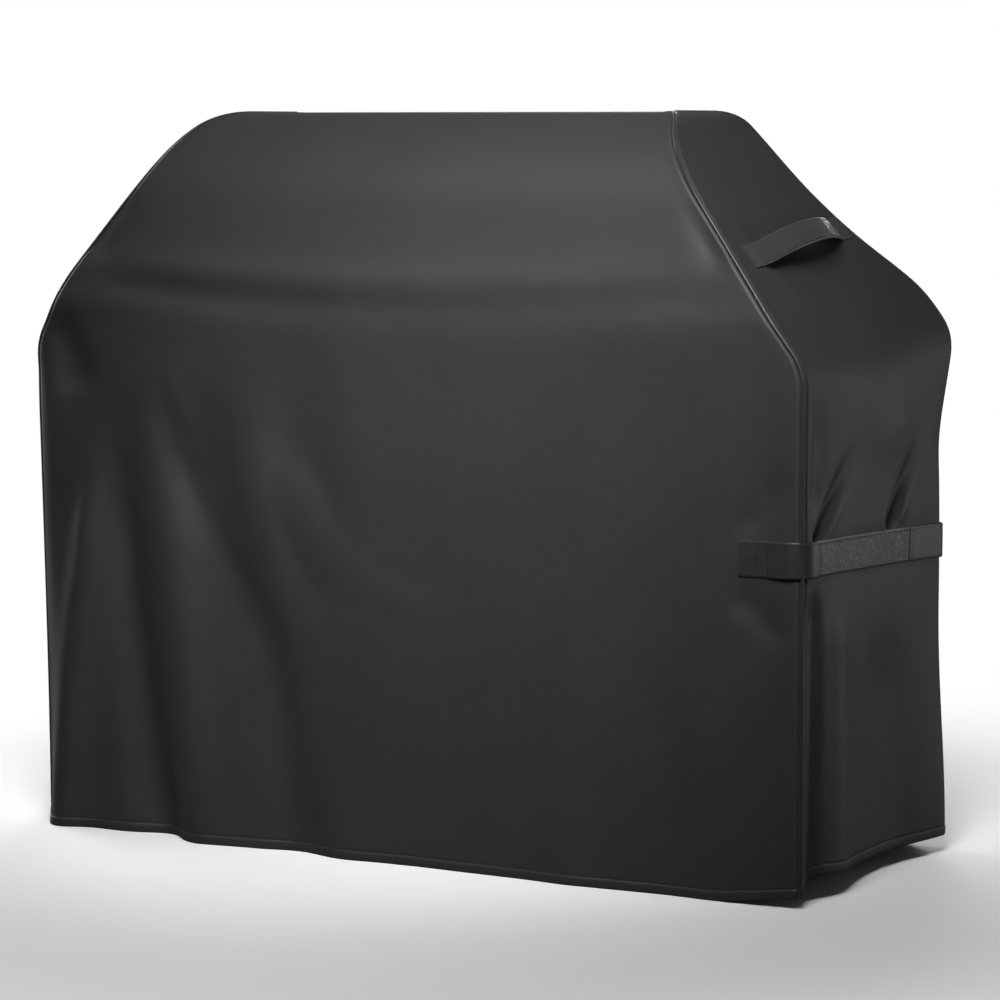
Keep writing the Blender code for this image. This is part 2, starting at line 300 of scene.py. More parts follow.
frontFolds = [
    # under the hood
    fold([(-0.6, 0.98), (-0.45, 0.962), (-0.25, 0.95), (0.0, 0.946), (0.25, 0.95), (0.45, 0.962),
          (0.62, 0.98)], width=(0.026, 0.03), lift=(0.008, 0.002), fade=(0.2, 0.2)),
    fold([(-0.7, 0.925), (-0.6, 0.936), (-0.45, 0.924), (-0.25, 0.908), (0.07, 0.9), (0.3, 0.905),
          (0.5, 0.92), (0.68, 0.935)], width=(0.02, 0.034), lift=(-0.012, -0.002), fade=(0.2, 0.12)),
    fold([(-0.6, 0.85), (-0.3, 0.845), (0.0, 0.84), (0.3, 0.845), (0.66, 0.85)], width=(0.06, 0.06),
         lift=(0.003, 0.003), fade=(0.1, 0.1)),
    # at the hood's ends
    fold([(-0.52, 1.13), (-0.56, 1.05), (-0.61, 0.985)], width=(0.03, 0.045), lift=(-0.01, -0.012),
         fade=(0.3, 0.2)),
    fold([(0.535, 1.11), (0.575, 1.04), (0.61, 0.985)], width=(0.03, 0.04), lift=(-0.006, -0.008),
         fade=(0.3, 0.2)),
    # a hollow under the left shoulder
    fold([(-0.66, 0.84), (-0.64, 0.79), (-0.63, 0.735)], width=(0.04, 0.05), lift=(-0.014, -0.014),
         fade=(0.0, 0.3)),
    # folds that fan down from the left of the hood
    fold([(-0.58, 0.74), (-0.595, 0.6), (-0.615, 0.449), (-0.64, 0.2), (-0.66, 0.0)],
         width=(0.03, 0.04), lift=(0.016, 0.026), fade=(0.35, 0.0)),
    fold([(-0.55, 0.73), (-0.535, 0.56), (-0.517, 0.387), (-0.475, 0.131), (-0.445, 0.0)],
         width=(0.034, 0.052), lift=(-0.022, -0.034), fade=(0.35, 0.0)),
    fold([(-0.508, 0.85), (-0.455, 0.66), (-0.412, 0.463), (-0.384, 0.225), (-0.365, 0.0)],
         width=(0.034, 0.048), lift=(0.003, 0.014), fade=(0.4, 0.0)),
    fold([(-0.478, 0.87), (-0.42, 0.712), (-0.355, 0.58), (-0.28, 0.42), (-0.235, 0.328),
          (-0.2, 0.15), (-0.185, 0.0)], width=(0.046, 0.074), lift=(-0.026, -0.03),
         fade=(0.35, 0.0)),
    fold([(-0.36, 0.8), (-0.3, 0.7), (-0.17, 0.56), (-0.02, 0.45), (0.09, 0.41), (0.3, 0.41),
          (0.5, 0.47)], width=(0.085, 0.13), lift=(0.02, 0.012), fade=(0.25, 0.3)),
    # quieter ones towards the right
    fold([(0.29, 0.39), (0.32, 0.2), (0.33, 0.0)], width=(0.05, 0.06), lift=(0.005, 0.008),
         fade=(0.4, 0.0)),
    fold([(0.49, 0.43), (0.5, 0.2), (0.505, 0.0)], width=(0.045, 0.06), lift=(-0.006, -0.008),
         fade=(0.4, 0.0)),
    fold([(0.6, 0.495), (0.66, 0.455), (0.71, 0.4)], width=(0.02, 0.03), lift=(-0.007, -0.007),
         fade=(0.3, 0.3)),
    fold([(0.61, 0.565), (0.66, 0.61), (0.71, 0.69)], width=(0.016, 0.024), lift=(-0.007, -0.006),
         fade=(0.3, 0.4)),
]

backFolds = [
    fold([(-0.56, 0.94), (-0.3, 0.915), (0.0, 0.905), (0.3, 0.915), (0.56, 0.94)],
         width=(0.03, 0.03), lift=(-0.008, -0.008), fade=(0.2, 0.2)),
    fold([(-0.6, 0.8), (-0.52, 0.56), (-0.43, 0.3), (-0.4, 0.0)], width=(0.022, 0.06),
         lift=(-0.016, -0.014), fade=(0.2, 0.0)),
    fold([(-0.56, 0.82), (-0.43, 0.6), (-0.3, 0.33), (-0.24, 0.0)], width=(0.026, 0.06),
         lift=(0.012, 0.012), fade=(0.2, 0.0)),
    fold([(-0.15, 0.74), (-0.08, 0.45), (-0.06, 0.0)], width=(0.05, 0.08), lift=(-0.008, -0.012),
         fade=(0.4, 0.0)),
    fold([(0.18, 0.64), (0.16, 0.35), (0.15, 0.0)], width=(0.05, 0.07), lift=(0.007, 0.012),
         fade=(0.4, 0.0)),
    fold([(0.6, 0.82), (0.5, 0.6), (0.4, 0.33), (0.35, 0.0)], width=(0.022, 0.06),
         lift=(-0.016, -0.014), fade=(0.2, 0.0)),
    fold([(0.62, 0.7), (0.56, 0.42), (0.52, 0.0)], width=(0.03, 0.05), lift=(0.01, 0.012),
         fade=(0.3, 0.0)),
]

endFolds = {
    1: [
        # a hollow behind the front seam, and a roll after it, below the strap
        fold([(-0.268, 0.49), (-0.268, 0.25), (-0.266, 0.0)], width=(0.02, 0.026),
             lift=(-0.012, -0.016), fade=(0.08, 0.0)),
        fold([(-0.18, 0.47), (-0.176, 0.25), (-0.17, 0.0)], width=(0.042, 0.05),
             lift=(0.009, 0.012), fade=(0.15, 0.0)),
        fold([(0.03, 0.43), (0.02, 0.25), (0.01, 0.0)], width=(0.09, 0.12), lift=(-0.008, -0.016),
             fade=(0.3, 0.0)),
        # between the shoulder and the strap
        fold([(-0.255, 0.8), (-0.25, 0.7), (-0.262, 0.6)], width=(0.028, 0.022),
             lift=(-0.006, -0.008), fade=(0.4, 0.2)),
        fold([(-0.2, 1.06), (-0.15, 0.98), (-0.11, 0.89)], width=(0.03, 0.04),
             lift=(-0.008, -0.006), fade=(0.3, 0.3)),
        fold([(-0.1, 0.78), (0.02, 0.72), (0.12, 0.76)], width=(0.05, 0.05), lift=(0.006, 0.006),
             fade=(0.3, 0.3)),
        fold([(-0.27, 0.53), (0.0, 0.525), (0.25, 0.52)], width=(0.03, 0.03), lift=(-0.003, -0.003),
             fade=(0.1, 0.1)),
    ],
    -1: [
        fold([(-0.15, 0.76), (-0.12, 0.64), (-0.08, 0.57)], width=(0.022, 0.018),
             lift=(-0.01, -0.01), fade=(0.4, 0.1)),
        fold([(-0.11, 0.47), (-0.12, 0.25), (-0.13, 0.0)], width=(0.035, 0.05),
             lift=(-0.012, -0.015), fade=(0.2, 0.0)),
        fold([(0.0, 0.47), (0.01, 0.25), (0.02, 0.0)], width=(0.035, 0.05), lift=(0.01, 0.014),
             fade=(0.2, 0.0)),
        fold([(0.14, 0.47), (0.13, 0.25), (0.12, 0.0)], width=(0.04, 0.06), lift=(-0.009, -0.014),
             fade=(0.2, 0.0)),
        fold([(0.17, 1.0), (0.12, 0.94), (0.07, 0.88)], width=(0.028, 0.036), lift=(-0.007, -0.006),
             fade=(0.3, 0.3)),
        fold([(-0.27, 0.53), (0.0, 0.525), (0.25, 0.52)], width=(0.03, 0.03), lift=(-0.003, -0.003),
             fade=(0.1, 0.1)),
    ],
}

# pinched creases that the straps draw in above them, too fine for the draped mesh
endCreases = {
    1: [
        fold([(-0.27, 0.556), (-0.205, 0.618), (-0.14, 0.672), (-0.075, 0.718)],
             width=(0.01, 0.028), lift=(-0.014, -0.009), fade=(0.08, 0.7)),
        fold([(-0.235, 0.566), (-0.175, 0.62), (-0.12, 0.667)], width=(0.014, 0.02),
             lift=(0.004, 0.003), fade=(0.3, 0.6)),
        fold([(0.015, 0.556), (0.075, 0.608), (0.14, 0.66), (0.205, 0.71)], width=(0.011, 0.03),
             lift=(-0.013, -0.008), fade=(0.08, 0.7)),
        fold([(0.055, 0.56), (0.105, 0.6), (0.165, 0.648)], width=(0.014, 0.022),
             lift=(0.004, 0.003), fade=(0.3, 0.6)),
    ],
    -1: [
        fold([(-0.18, 0.562), (-0.14, 0.612), (-0.1, 0.68)], width=(0.01, 0.014),
             lift=(-0.01, -0.009), fade=(0.12, 0.45)),
        fold([(0.12, 0.562), (0.1, 0.622), (0.11, 0.7)], width=(0.011, 0.014), lift=(-0.01, -0.008),
             fade=(0.12, 0.45)),
    ],
}


def foldLift(across, level, folds):
    # how far the folds raise or sink the cloth at these places
    lift = np.zeros(across.shape)
    for each in folds:
        route = smoothRoute(each["route"], 64)
        low = route.min(0) - 3 * max(each["width"])
        high = route.max(0) + 3 * max(each["width"])
        near = (across > low[0]) & (across < high[0]) & (level > low[1]) & (level < high[1])
        distance = (across[near, None] - route[:, 0]) ** 2 + (level[near, None] - route[:, 1]) ** 2
        share = distance.argmin(-1) / (len(route) - 1)
        width = each["width"][0] + (each["width"][1] - each["width"][0]) * share
        height = each["lift"][0] + (each["lift"][1] - each["lift"][0]) * share
        for fade, place in zip(each["fade"], (share, 1 - share)):
            if fade > 0:
                height = height * ease(0, fade, place)
        lift[near] += height * np.exp(-distance.min(-1) / width ** 2)
    return lift


def roundCorner(points, cornerX, cornerY, signed, side, face):
    # signed runs along the cloth from the seam: below zero on the body, above zero on the end
    low, high = hang["corners"][(side, face)]
    level = points[..., 2]
    radius = low + (high - low) * ease(0, cover["shoulder"], level)
    start, stop, tight = hang["tightAbove"]
    radius = radius + (min(tight, high) - radius) * ease(start, stop, level)
    radius = radius * (1 - ease(hang["squareAbove"], cover["height"], level)) + 1e-5
    turn = (np.clip(signed / radius, -1, 1) + 1) * math.pi / 4
    near = np.abs(signed) < radius
    points[..., 0] = np.where(near, cornerX - side * radius * (1 - np.sin(turn)), points[..., 0])
    points[..., 1] = np.where(near, cornerY - face * radius * (1 - np.cos(turn)), points[..., 1])


def roundCorners(body, ends):
    for side in (-1, 1):
        for face, rows, reach in ((-1, frontRows, nearAt), (1, backRows, farAt[::-1])):
            half = halfAt if face < 0 else halfAt[::-1]
            cornerX, cornerY = side * half[:, None], face * reach[:, None]
            part = body[rows]
            roundCorner(part, cornerX, cornerY, -(cornerX * side - part[..., 0] * side), side, face)
            end = ends[side]
            endY = face * (nearAt if face < 0 else farAt)[:, None]
            roundCorner(end, side * halfAt[:, None], endY, np.abs(end[..., 1] - endY), side, face)


def pulled(points):
    # the broad pulls that act on the whole cover
    x, y, z = points[..., 0].copy(), points[..., 1].copy(), points[..., 2]
    low = 1 - ease(*hang["tuckLevels"], z)
    y = y - hang["backTuck"] * low * ease(-0.05, cover["halfDepth"], y)
    y = y + hang["leftTurn"] * ease(0.30, 0.66, -x) * (1 - ease(0.78, 0.96, z)) * ease(0.0, 0.25, -y)
    down = 1 - ease(0, 0.42, z)
    x = x + hang["rearFlare"] * down * ease(0.08, 0.25, y) * ease(0.60, 0.72, x)
    x = x - hang["leftFlare"] * (1 - ease(0, 0.7, z)) * ease(0.55, 0.72, -x)
    z = z + hang["sideLift"] * (1 - ease(0, 0.40, z)) * ease(0.66, 0.732, x) * ease(-0.315, -0.235, y)
    rear = ease(0.52, 0.70, x) * ease(0.0, 0.26, y) * ease(0.66, 0.84, z) * (1 - ease(0.90, 1.20, z))
    z = z + hang["rearPull"] * rear
    y = y + 0.35 * hang["rearPull"] * rear
    z = z + hang["cornerLift"] * (1 - ease(0, 0.35, z)) * ease(0.56, 0.74, x) * ease(0.0, 0.28, -y)
    return np.stack([x, y, z], -1)


def folded(body, bodyFromSeam, ends, endFromSeam):
    normals = gridNormals(body)
    fade = ease(0, hang["seamFade"], bodyFromSeam)
    lift = np.zeros(body.shape[:2])
    for rows, folds, face in ((frontRows, frontFolds, -1), (backRows, backFolds, 1)):
        upright = ease(0.15, 0.6, normals[rows][..., 1] * face)
        lift[rows] += foldLift(body[rows][..., 0], body[rows][..., 2], folds) * upright
    body = body + normals * (lift * fade)[..., None]
    for side in (-1, 1):
        normals = gridNormals(ends[side]) * side
        lift = foldLift(ends[side][..., 1], ends[side][..., 2], endFolds[side])
        ends[side] = ends[side] + normals * (lift * ease(0, hang["seamFade"], endFromSeam))[..., None]
    return body, ends


def sewn(body, ends):
    # one welded cover out of the three panels: points, faces, and each panel's point numbers
    bodyIndex = np.arange(body.shape[0] * body.shape[1]).reshape(body.shape[:2])
    points = [body.reshape(-1, 3)]
    count = bodyIndex.size
    index = {"body": bodyIndex}
    for side in (-1, 1):
        edge = bodyIndex[:, -1 if side > 0 else 0]
        own = np.full(ends[side].shape[:2], -1)
        own[:, 0] = edge[frontRows]
        own[:, -1] = edge[backRows][::-1]
        own[-1] = edge[rise:rise + over + 1]
        free = own < 0
        own[free] = count + np.arange(free.sum())
        count += free.sum()
        points.append(ends[side][free])
        index[side] = own
    faces = []
    for part, own in index.items():
        quads = np.stack([own[:-1, :-1], own[:-1, 1:], own[1:, 1:], own[1:, :-1]], -1).reshape(-1, 4)
        faces.append(quads[:, ::-1] if part == -1 else quads)
    return np.concatenate(points), np.concatenate(faces), index


def settled(body, ends):
    # the sewn cover sags and ripples a little under its own weight
    points, faces, index = sewn(body, ends)
    mesh = bpy.data.meshes.new("drapedCover")
    mesh.from_pydata(points.tolist(), [], faces.tolist())
    obj = bpy.data.objects.new("drapedCover", mesh)
    bpy.context.scene.collection.objects.link(obj)
    level = points[:, 2]
    held = 0.10 + 0.9 * ease(0.80, 0.96, level)
    strap = np.exp(-((level - straps["level"]) / 0.035) ** 2) * ease(0.60, 0.70, np.abs(points[:, 0]))
    held = np.maximum(held, 0.85 * strap)
    held = np.maximum(held, 0.35 * ease(0.66, 0.72, np.abs(points[:, 0])))
    seam = np.unique(np.concatenate([index["body"][:, 0], index["body"][:, -1]]))
    held[seam] = np.maximum(held[seam], 0.45)
    group = obj.vertex_groups.new(name="held")
    for number, weight in enumerate(held):
        group.add([number], float(weight), "REPLACE")
    cloth = obj.modifiers.new("settle", "CLOTH")
    for setting, value in hang["cloth"].items():
        setattr(cloth.settings, setting, value)
    cloth.collision_settings.use_collision = False
    cloth.collision_settings.use_self_collision = False
    cloth.point_cache.frame_start = 1
    cloth.point_cache.frame_end = hang["settleFrames"]
    for number in range(1, hang["settleFrames"] + 1):
        bpy.context.scene.frame_set(number)
    shown = obj.evaluated_get(bpy.context.evaluated_depsgraph_get())
    hung = np.zeros(len(points) * 3)
    shown.data.vertices.foreach_get("co", hung)
    bpy.context.scene.frame_set(1)
    bpy.data.objects.remove(obj)
    bpy.data.meshes.remove(mesh)
    moved = hung.reshape(-1, 3) - points
    distance = np.linalg.norm(moved, axis=1, keepdims=True)
    moved *= np.minimum(1, hang["mostSettle"] / np.maximum(distance, 1e-9))
    moved[:, 2] = np.maximum(moved[:, 2], -0.05 * level)   # the hem stays off the floor
    print("cloth settled, most moved", round(float(distance.max()), 4))
    hung = points + moved
    return hung[index["body"]], {side: hung[index[side]] for side in (-1, 1)}


straps = {
    "level": (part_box("right_strap_hook_tab")[0].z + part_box("right_strap_hook_tab")[1].z) / 2,
    "width": 0.056,
    "thickness": 0.0015,
    "slope": 0.010,             # higher than its level at the front, lower at the back
    "anchorStart": 0.620,       # along the front, from the middle
    "hinge": 0.680,
    "endAnchor": -0.255,        # the left strap's, along the end
    "endHinge": -0.195,
    "tabEnd": {1: -0.2575, -1: -0.075},
    "stripStart": {1: -0.288, -1: -0.150},
    "stripEnd": 0.134,
    "rearWrap": 0.060,
    "bend": 0.016,              # the length over which the tab bends when it is peeled
    "gap": 0.0014,              # under the band, and the more of it under two of the pieces
    "tabGap": 0.0021,
    "rearGap": 0.0019,
    "crown": 0.0004,
    "stitchInset": 0.0035,
    "stitchLift": 0.0003,
}


def drape():
    body, bodyUv, bodyFromSeam = flatBody()
    ends, endUv, endFromSeam = {}, None, None
    for side in (-1, 1):
        ends[side], endUv, endFromSeam = flatEnd(side)
    roundCorners(body, ends)
    body = pulled(body)
    ends = {side: pulled(ends[side]) for side in ends}
    body, ends = folded(body, bodyFromSeam, ends, endFromSeam)
    body, ends = settled(body, ends)
    return body, bodyUv, ends, endUv


# The three panels, finely meshed, with their seams turned in and their hems folded

def spread(cells, factor, firstEdge=(), lastEdge=()):
    # places to read a coarse grid: even ones, and closer ones at its edges
    places = np.arange(cells * factor + 1) / factor
    extra = list(firstEdge) + [cells - place for place in lastEdge]
    return np.unique(np.round(np.concatenate([places, extra]), 5))


edges = {
    # rows of the mesh round the hem's stitching
    "hemRows": (-0.0145, -0.004, -0.0022, -0.0010, 0.0, 0.0010, 0.0022, 0.004),
    # height of each shape, and the width over which it fades
    "doubled": (0.0009, 0.002),
    "stitched": (0.0016, 0.0014),
    "hemEdge": (0.0010, 0.003),
    "turnedIn": (0.0042, 0.0055),
    "ridge": (0.0012, 0.004),
    "ridgeAt": 0.011,
}


def bump(shape, distance):
    return shape[0] * np.exp(-(distance / shape[1]) ** 2)


def hemPlaces():
    wanted = cover["hem"] + np.array(edges["hemRows"])
    return list(np.interp(wanted, levels, np.arange(rise + 1)))


def hemProfile(height):
    # the hem is double, and its stitching pulls the cloth in
    thick, fade = edges["doubled"]
    doubled = thick * (1 - ease(cover["hem"], cover["hem"] + fade, height))
    sunk, fade = edges["hemEdge"]
    edge = sunk * (1 - ease(0, fade, height))
    return doubled - bump(edges["stitched"], height - cover["hem"]) - edge


def seamProfile(distance):
    # the panels turn in beside the piping, and a stitched ridge follows it
    return bump(edges["ridge"], distance - edges["ridgeAt"]) - bump(edges["turnedIn"], distance)


def finePanel(grid, uv, rows, columns, side=1):
    points = catmull(np.swapaxes(catmull(grid, rows), 0, 1), columns)
    cloth = catmull(np.swapaxes(catmull(uv, rows), 0, 1), columns)
    points, cloth = np.swapaxes(points, 0, 1), np.swapaxes(cloth, 0, 1)
    return {"points": points, "uv": cloth, "rows": rows, "columns": columns, "side": side}


def panelNormals(panel):
    return gridNormals(panel["points"]) * panel["side"]


def onPanel(panel, row, column):
    # places and outward directions on a panel, at coarse row and column numbers
    r = np.interp(row, panel["rows"], np.arange(len(panel["rows"])))
    c = np.interp(column, panel["columns"], np.arange(len(panel["columns"])))
    r0 = np.clip(r.astype(int), 0, len(panel["rows"]) - 2)
    c0 = np.clip(c.astype(int), 0, len(panel["columns"]) - 2)
    fr, fc = (r - r0)[..., None], (c - c0)[..., None]
    found = []
    for layer in (panel["points"], panel["normals"]):
        low = layer[r0, c0] * (1 - fc) + layer[r0, c0 + 1] * fc
        high = layer[r0 + 1, c0] * (1 - fc) + layer[r0 + 1, c0 + 1] * fc
        found.append(low * (1 - fr) + high * fr)
    return found[0], unit(found[1])


def onEnd(side, y, z):
    row = np.interp(z, levels, np.arange(rise + 1))
    near, far = np.interp(z, levels, nearAt), np.interp(z, levels, farAt)
    return onPanel(panels[side], row, (y + near) / (near + far) * over)


def onFace(face, x, z):
    row = np.interp(z, levels, np.arange(rise + 1))
    half = np.interp(z, levels, halfAt)
    if face > 0:
        row = 2 * rise + over - row
    return onPanel(panels["body"], row, (x / half + 1) / 2 * wide)


def makePanels():
    body, bodyUv, ends, endUv = drape()
    hemRows = hemPlaces()
    edgeColumns = (0.08, 0.16, 0.25, 0.36, 0.75)
    columns = spread(wide, 2, edgeColumns, edgeColumns)
    made = {"body": finePanel(body, bodyUv, spread(2 * rise + over, 2, hemRows, hemRows), columns)}
    columns = spread(over, 4, (0.08, 0.16), (0.08, 0.16))
    for side in (-1, 1):
        rows = spread(rise, 4, hemRows, (0.08, 0.16))
        made[side] = finePanel(ends[side], endUv, rows, columns, side)

    for part, panel in made.items():
        panel["plain"] = panel["points"].copy()
        normals = panelNormals(panel)
        row = panel["rows"]
        if part == "body":
            row = np.minimum(row, 2 * rise + over - row)
        height = np.interp(row, np.arange(rise + 1), levels)[:, None]
        if part == "body":
            half = np.interp(row, np.arange(rise + 1), halfAt)[:, None]
            fromSeam = half * (1 - np.abs(panel["columns"] / wide * 2 - 1))
            crease = 0
        else:
            y, v = panel["uv"][..., 0], panel["uv"][..., 1]
            near, far = np.interp(height, levels, nearAt), np.interp(height, levels, farAt)
            fromSeam = np.minimum(y + near, far - y)
            fromSeam = np.maximum(np.minimum(fromSeam, v.max() - v), 0)
            level = np.broadcast_to(height, y.shape)
            crease = foldLift(y, level, endCreases[part]) * ease(0, 0.02, fromSeam)
        lift = crease + hemProfile(height) + seamProfile(fromSeam)
        panel["points"] = panel["points"] + normals * lift[..., None]
        panel["normals"] = panelNormals(panel)
    return made


panels = makePanels()
print("panels draped:", {part: panel["points"].shape[:2] for part, panel in panels.items()})
for part in ("body", -1, 1):
    name = {"body": "bodyPanel", -1: "leftEndPanel", 1: "rightEndPanel"}[part]
    panel = panels[part]
    obj = shapedGrid(name, panel["points"], panel["uv"], inward=part == -1)
    wall = obj.modifiers.new("wall", "SOLIDIFY")
    wall.thickness = cover["cloth"]
    wall.offset = -1
    applyAll(obj)
    smooth(obj, 75)
    panel["object"] = obj


# Seams: piping outside, bound allowance inside, topstitching beside them

seams = {
    "pipingRadius": 0.0030,
    "pipingSink": 0.0006,
    "pipingSides": 12,
    "bindingStart": 0.0065,
    "bindingEnd": 0.0175,
    "bindingThickness": 0.0014,
    "topstitch": 0.0085,        # from the seam, on the body
    "stitchPitch": 0.0056,
    "stitchLength": 0.0040,
    "stitchWidth": 0.0010,
    "stitchLift": 0.0003,
    "lookAhead": 0.001,         # how far along the row a stitch takes its direction from
}


def sweptTube(name, path, section):
    # section holds, for every point of the path, the closed ring's places
    rings = np.concatenate([section, section[:, :1]], 1)
    along = pathLength(path)
    around = pathLength(rings[0])
    uv = np.stack(np.broadcast_arrays(around[None, :], along[:, None]), -1)
    obj = shapedGrid(name, rings, np.ascontiguousarray(uv, float))
    return closeTube(obj)


def seamLine(side):
    # the seam round one end: its points, the outward direction, and the direction along the cover's end
    body = panels["body"]
    rows = body["rows"]
    edge = 0.5
    bodyColumn = wide - edge if side > 0 else edge
    bodyOut = onPanel(body, rows, np.full(len(rows), bodyColumn))[1]
    mirrored = np.minimum(rows, 2 * rise + over - rows)
    endRow = np.minimum(mirrored, rise - edge)
    endColumn = np.clip(rows - rise, edge, over - edge)
    endOut = onPanel(panels[side], endRow, endColumn)[1]
    places = body["plain"][:, -1 if side > 0 else 0]
    outward = unit(bodyOut + endOut)
    along = unit(np.gradient(places, axis=0))
    outward = unit(outward - along * (outward * along).sum(-1, keepdims=True))
    return places, outward, unit(np.cross(along, outward))


def makePiping(side, name):
    places, outward, sideways = seamLine(side)
    centre = places - outward * seams["pipingSink"]
    turn = np.linspace(0, 2 * math.pi, seams["pipingSides"], endpoint=False)
    ring = outward[:, None] * np.cos(turn)[:, None] + sideways[:, None] * np.sin(turn)[:, None]
    obj = sweptTube(name, centre, centre[:, None] + seams["pipingRadius"] * ring)
    smooth(obj)
    return obj


def makeBinding(side, name):
    places, outward, sideways = seamLine(side)
    corners = [(seams["bindingStart"], -0.5), (seams["bindingStart"], 0.5),
               (seams["bindingEnd"], 0.5), (seams["bindingEnd"], -0.5)]
    thick = seams["bindingThickness"]
    section = [places - outward * depth + sideways * half * thick for depth, half in corners]
    obj = sweptTube(name, places, np.stack(section, 1))
    edge = obj.modifiers.new("edge", "BEVEL")
    edge.width = 0.0004
    edge.limit_method = "ANGLE"
    applyAll(obj)
    smooth(obj)
    return obj


def makeStitch():
    # one stitch: a plump thread that dips at both ends
    bpy.ops.object.select_all(action="DESELECT")
    bpy.ops.mesh.primitive_uv_sphere_add(segments=6, ring_count=4, radius=0.5,
                                         rotation=(0, math.pi / 2, 0))
    obj = bpy.context.object
    bpy.ops.object.transform_apply(location=False, rotation=True, scale=False)
    bpy.ops.object.mode_set(mode="EDIT")
    length, thick = seams["stitchLength"], seams["stitchWidth"]
    bpy.ops.transform.resize(value=(length, thick, thick * 0.8))
    bpy.ops.object.mode_set(mode="OBJECT")
    points = np.zeros(len(obj.data.vertices) * 3)
    obj.data.vertices.foreach_get("co", points)
    faces = [list(face.vertices) for face in obj.data.polygons]
    bpy.data.objects.remove(obj)
    return points.reshape(-1, 3), faces


stitch = makeStitch()


def stitched(name, rows):
    # thread laid along rows of (places, outward directions)
    points, faces = [], []
    for places, outward in rows:
        length = pathLength(places)
        count = int(length[-1] / seams["stitchPitch"])
        if count < 1:
            continue
        wanted = (np.arange(count) + 0.5) * length[-1] / count
        centre = readAlong(wanted, length, places)
        ahead = readAlong(wanted + seams["lookAhead"], length, places)
        behind = readAlong(wanted - seams["lookAhead"], length, places)
        up = unit(readAlong(wanted, length, outward))
        along = unit(ahead - behind)
        across = unit(np.cross(up, along))
        up = np.cross(along, across)
        base, order = stitch
        for place, x, y, z in zip(centre, along, across, up):
            start = len(points) * len(base)
            lifted = place + z * seams["stitchLift"]
            points.append(lifted + base[:, :1] * x + base[:, 1:2] * y + base[:, 2:] * z)
            faces.extend([[start + corner for corner in face] for face in order])
    mesh = bpy.data.meshes.new(name)
    mesh.from_pydata(np.concatenate(points).tolist(), [], faces)
    obj = bpy.data.objects.new(name, mesh)
    bpy.context.scene.collection.objects.link(obj)
    smooth(obj, 80)
    return obj


def makeHemStitches(name):
    hemRow = float(np.interp(cover["hem"], levels, np.arange(rise + 1)))
    rows = []
    for part in ("body", 1, -1):
        panel = panels[part]
        last = wide if part == "body" else over
        column = np.linspace(0.25, last - 0.25, 6 * last)
        for row in (hemRow, 2 * rise + over - hemRow) if part == "body" else (hemRow,):
            rows.append(onPanel(panel, np.full(len(column), row), column))
    return stitched(name, rows)


def makeSeamStitches(side, name):
    row = panels["body"]["rows"][3:-3]
    half = np.interp(np.minimum(row, 2 * rise + over - row), np.arange(rise + 1), halfAt)
    column = (1 + side * (1 - seams["topstitch"] / half)) / 2 * wide
    return stitched(name, [onPanel(panels["body"], row, column)])


prefixes = {1: "right", -1: "left"}
for side, prefix in prefixes.items():
    piping = makePiping(side, prefix + "Piping")
    binding = makeBinding(side, prefix + "SeamBinding")
    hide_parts(prefix + "_piping")
    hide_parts(prefix + "_seam_binding")
    thread = makeSeamStitches(side, prefix + "SeamStitches")
    for obj, slot in ((piping, "piping"), (binding, "tape"), (thread, "cloth")):
        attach(obj, "root")
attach(makeHemStitches("hemStitches"), "root")
print("seams sewn")


# Bands of webbing: the handles and the straps

def bandSection(path, widthways, outward, width, thickness, crown=0.0, columns=16):
    # a flat band with rounded edges; the path lies on its inner face
    share = np.linspace(-1, 1, columns)
    share = np.sign(share) * (1 - (1 - np.abs(share)) ** 1.5)
    rounded = thickness / width
    edge = np.sqrt(np.clip(1 - ((np.abs(share) - 1 + rounded) / rounded).clip(0) ** 2, 0.0, 1))
    middle = thickness / 2
    top = middle + middle * edge + crown * (1 - share ** 2)
    bottom = middle - middle * edge
    across = np.concatenate([share, share[-2:0:-1]]) * width / 2    # the edges' points are shared
    lift = np.concatenate([top, bottom[-2:0:-1]])
    return path[:, None] + widthways[:, None] * across[:, None] + outward[:, None] * lift[:, None]


handles = {
    "width": 0.042,
    "thickness": 0.0026,
    "front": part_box("right_handle_front_end")[0].y,
    "archFront": -0.200,
    "archBack": 0.135,
    "rear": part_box("right_handle_rear_end")[1].y,
    "lift": 0.032,
    "freeFrom": 0.190,          # share of the arch that is sewn to each end piece
    "slant": 0.013,             # lower at the front, higher at the back
    "gap": 0.0006,              # under the band
    "crown": 0.0006,            # how much the band swells in its middle
    "stitchInset": 0.0045,
    "stitchLift": 0.0004,
    "boxInset": 0.009,          # of the stitched box and its diagonals
    "boxLift": 0.0009,
    "patchThickness": 0.0012,
    "patchMargin": 0.006,
}


def handlePath(side, places):
    # the band's inner face: flat where it is sewn down, arched between
    h = handles
    run = (places - h["archFront"]) / (h["archBack"] - h["archFront"])
    share = np.clip(run, 0, 1)
    level = handleLevel + h["slant"] * np.clip(run * 2 - 1, -1.2, 1.2)
    surface, outward = onEnd(side, places, level)
    plainOut = unit(np.array((slopeNormal[0] * side, 0, slopeNormal[1])))
    ends = ease(0, 0.12, share) * ease(0, 0.12, 1 - share)
    outward = unit(outward * (1 - ends)[:, None] + plainOut * ends[:, None])
    arch = h["lift"] * (np.sin(math.pi * share) ** 0.9)
    path = surface + plainOut * arch[:, None] + outward * h["gap"]
    along = unit(np.gradient(path, axis=0))
    widthways = unit(np.cross(along, outward))
    outward = unit(np.cross(widthways, along))
    return path, widthways, outward


